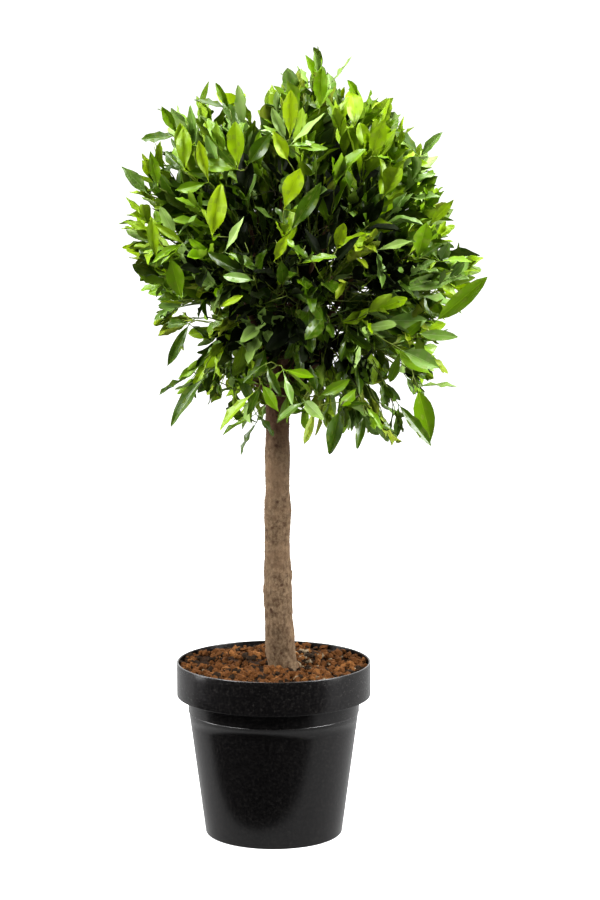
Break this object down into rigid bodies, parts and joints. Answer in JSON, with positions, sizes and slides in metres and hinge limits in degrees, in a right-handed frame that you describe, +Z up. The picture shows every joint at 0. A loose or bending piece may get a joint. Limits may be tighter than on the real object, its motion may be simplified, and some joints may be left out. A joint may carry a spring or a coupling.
{
  "type": "standard bay topiary in a pot",
  "caption": "Bay tree trained as a standard: one clear, slightly knobbly stem with a loosely clipped, leafy round head, standing in a round black plastic nursery pot filled with bark compost.",
  "frame": {"origin": "middle of the pot's flat underside", "axes": "+Z up along the stem; +X to the right and +Y to the back, seen from the front"},
  "size_m": [0.5882, 0.5931, 1.2872],
  "materials": {
    "pot_plastic": "satin black moulded plastic",
    "compost": "loose red-brown bark and coir compost",
    "stem_bark": "thin grey-brown bark with small knots",
    "bough_bark": "red-brown young bark, turning green on the twigs",
    "foliage": "glossy evergreen leaves, yellow-green at the shoot tips"
  },
  "bodies": {
    "root": {"pot": "pot_plastic", "soil": "compost", "stem": "stem_bark", "bough_lower_1": "bough_bark", "bough_lower_2": "bough_bark", "bough_lower_3": "bough_bark", "bough_lower_4": "bough_bark", "bough_middle_1": "bough_bark", "bough_middle_2": "bough_bark", "bough_middle_3": "bough_bark", "bough_middle_4": "bough_bark", "bough_middle_5": "bough_bark", "bough_upper_1": "bough_bark", "bough_upper_2": "bough_bark", "bough_upper_3": "bough_bark", "bough_upper_4": "bough_bark", "leaves_lower_1": "foliage", "leaves_lower_2": "foliage", "leaves_lower_3": "foliage", "leaves_lower_4": "foliage", "leaves_middle_1": "foliage", "leaves_middle_2": "foliage", "leaves_middle_3": "foliage", "leaves_middle_4": "foliage", "leaves_middle_5": "foliage", "leaves_top": "foliage", "leaves_upper_1": "foliage", "leaves_upper_2": "foliage", "leaves_upper_3": "foliage", "leaves_upper_4": "foliage"}
  },
  "joints": []
}
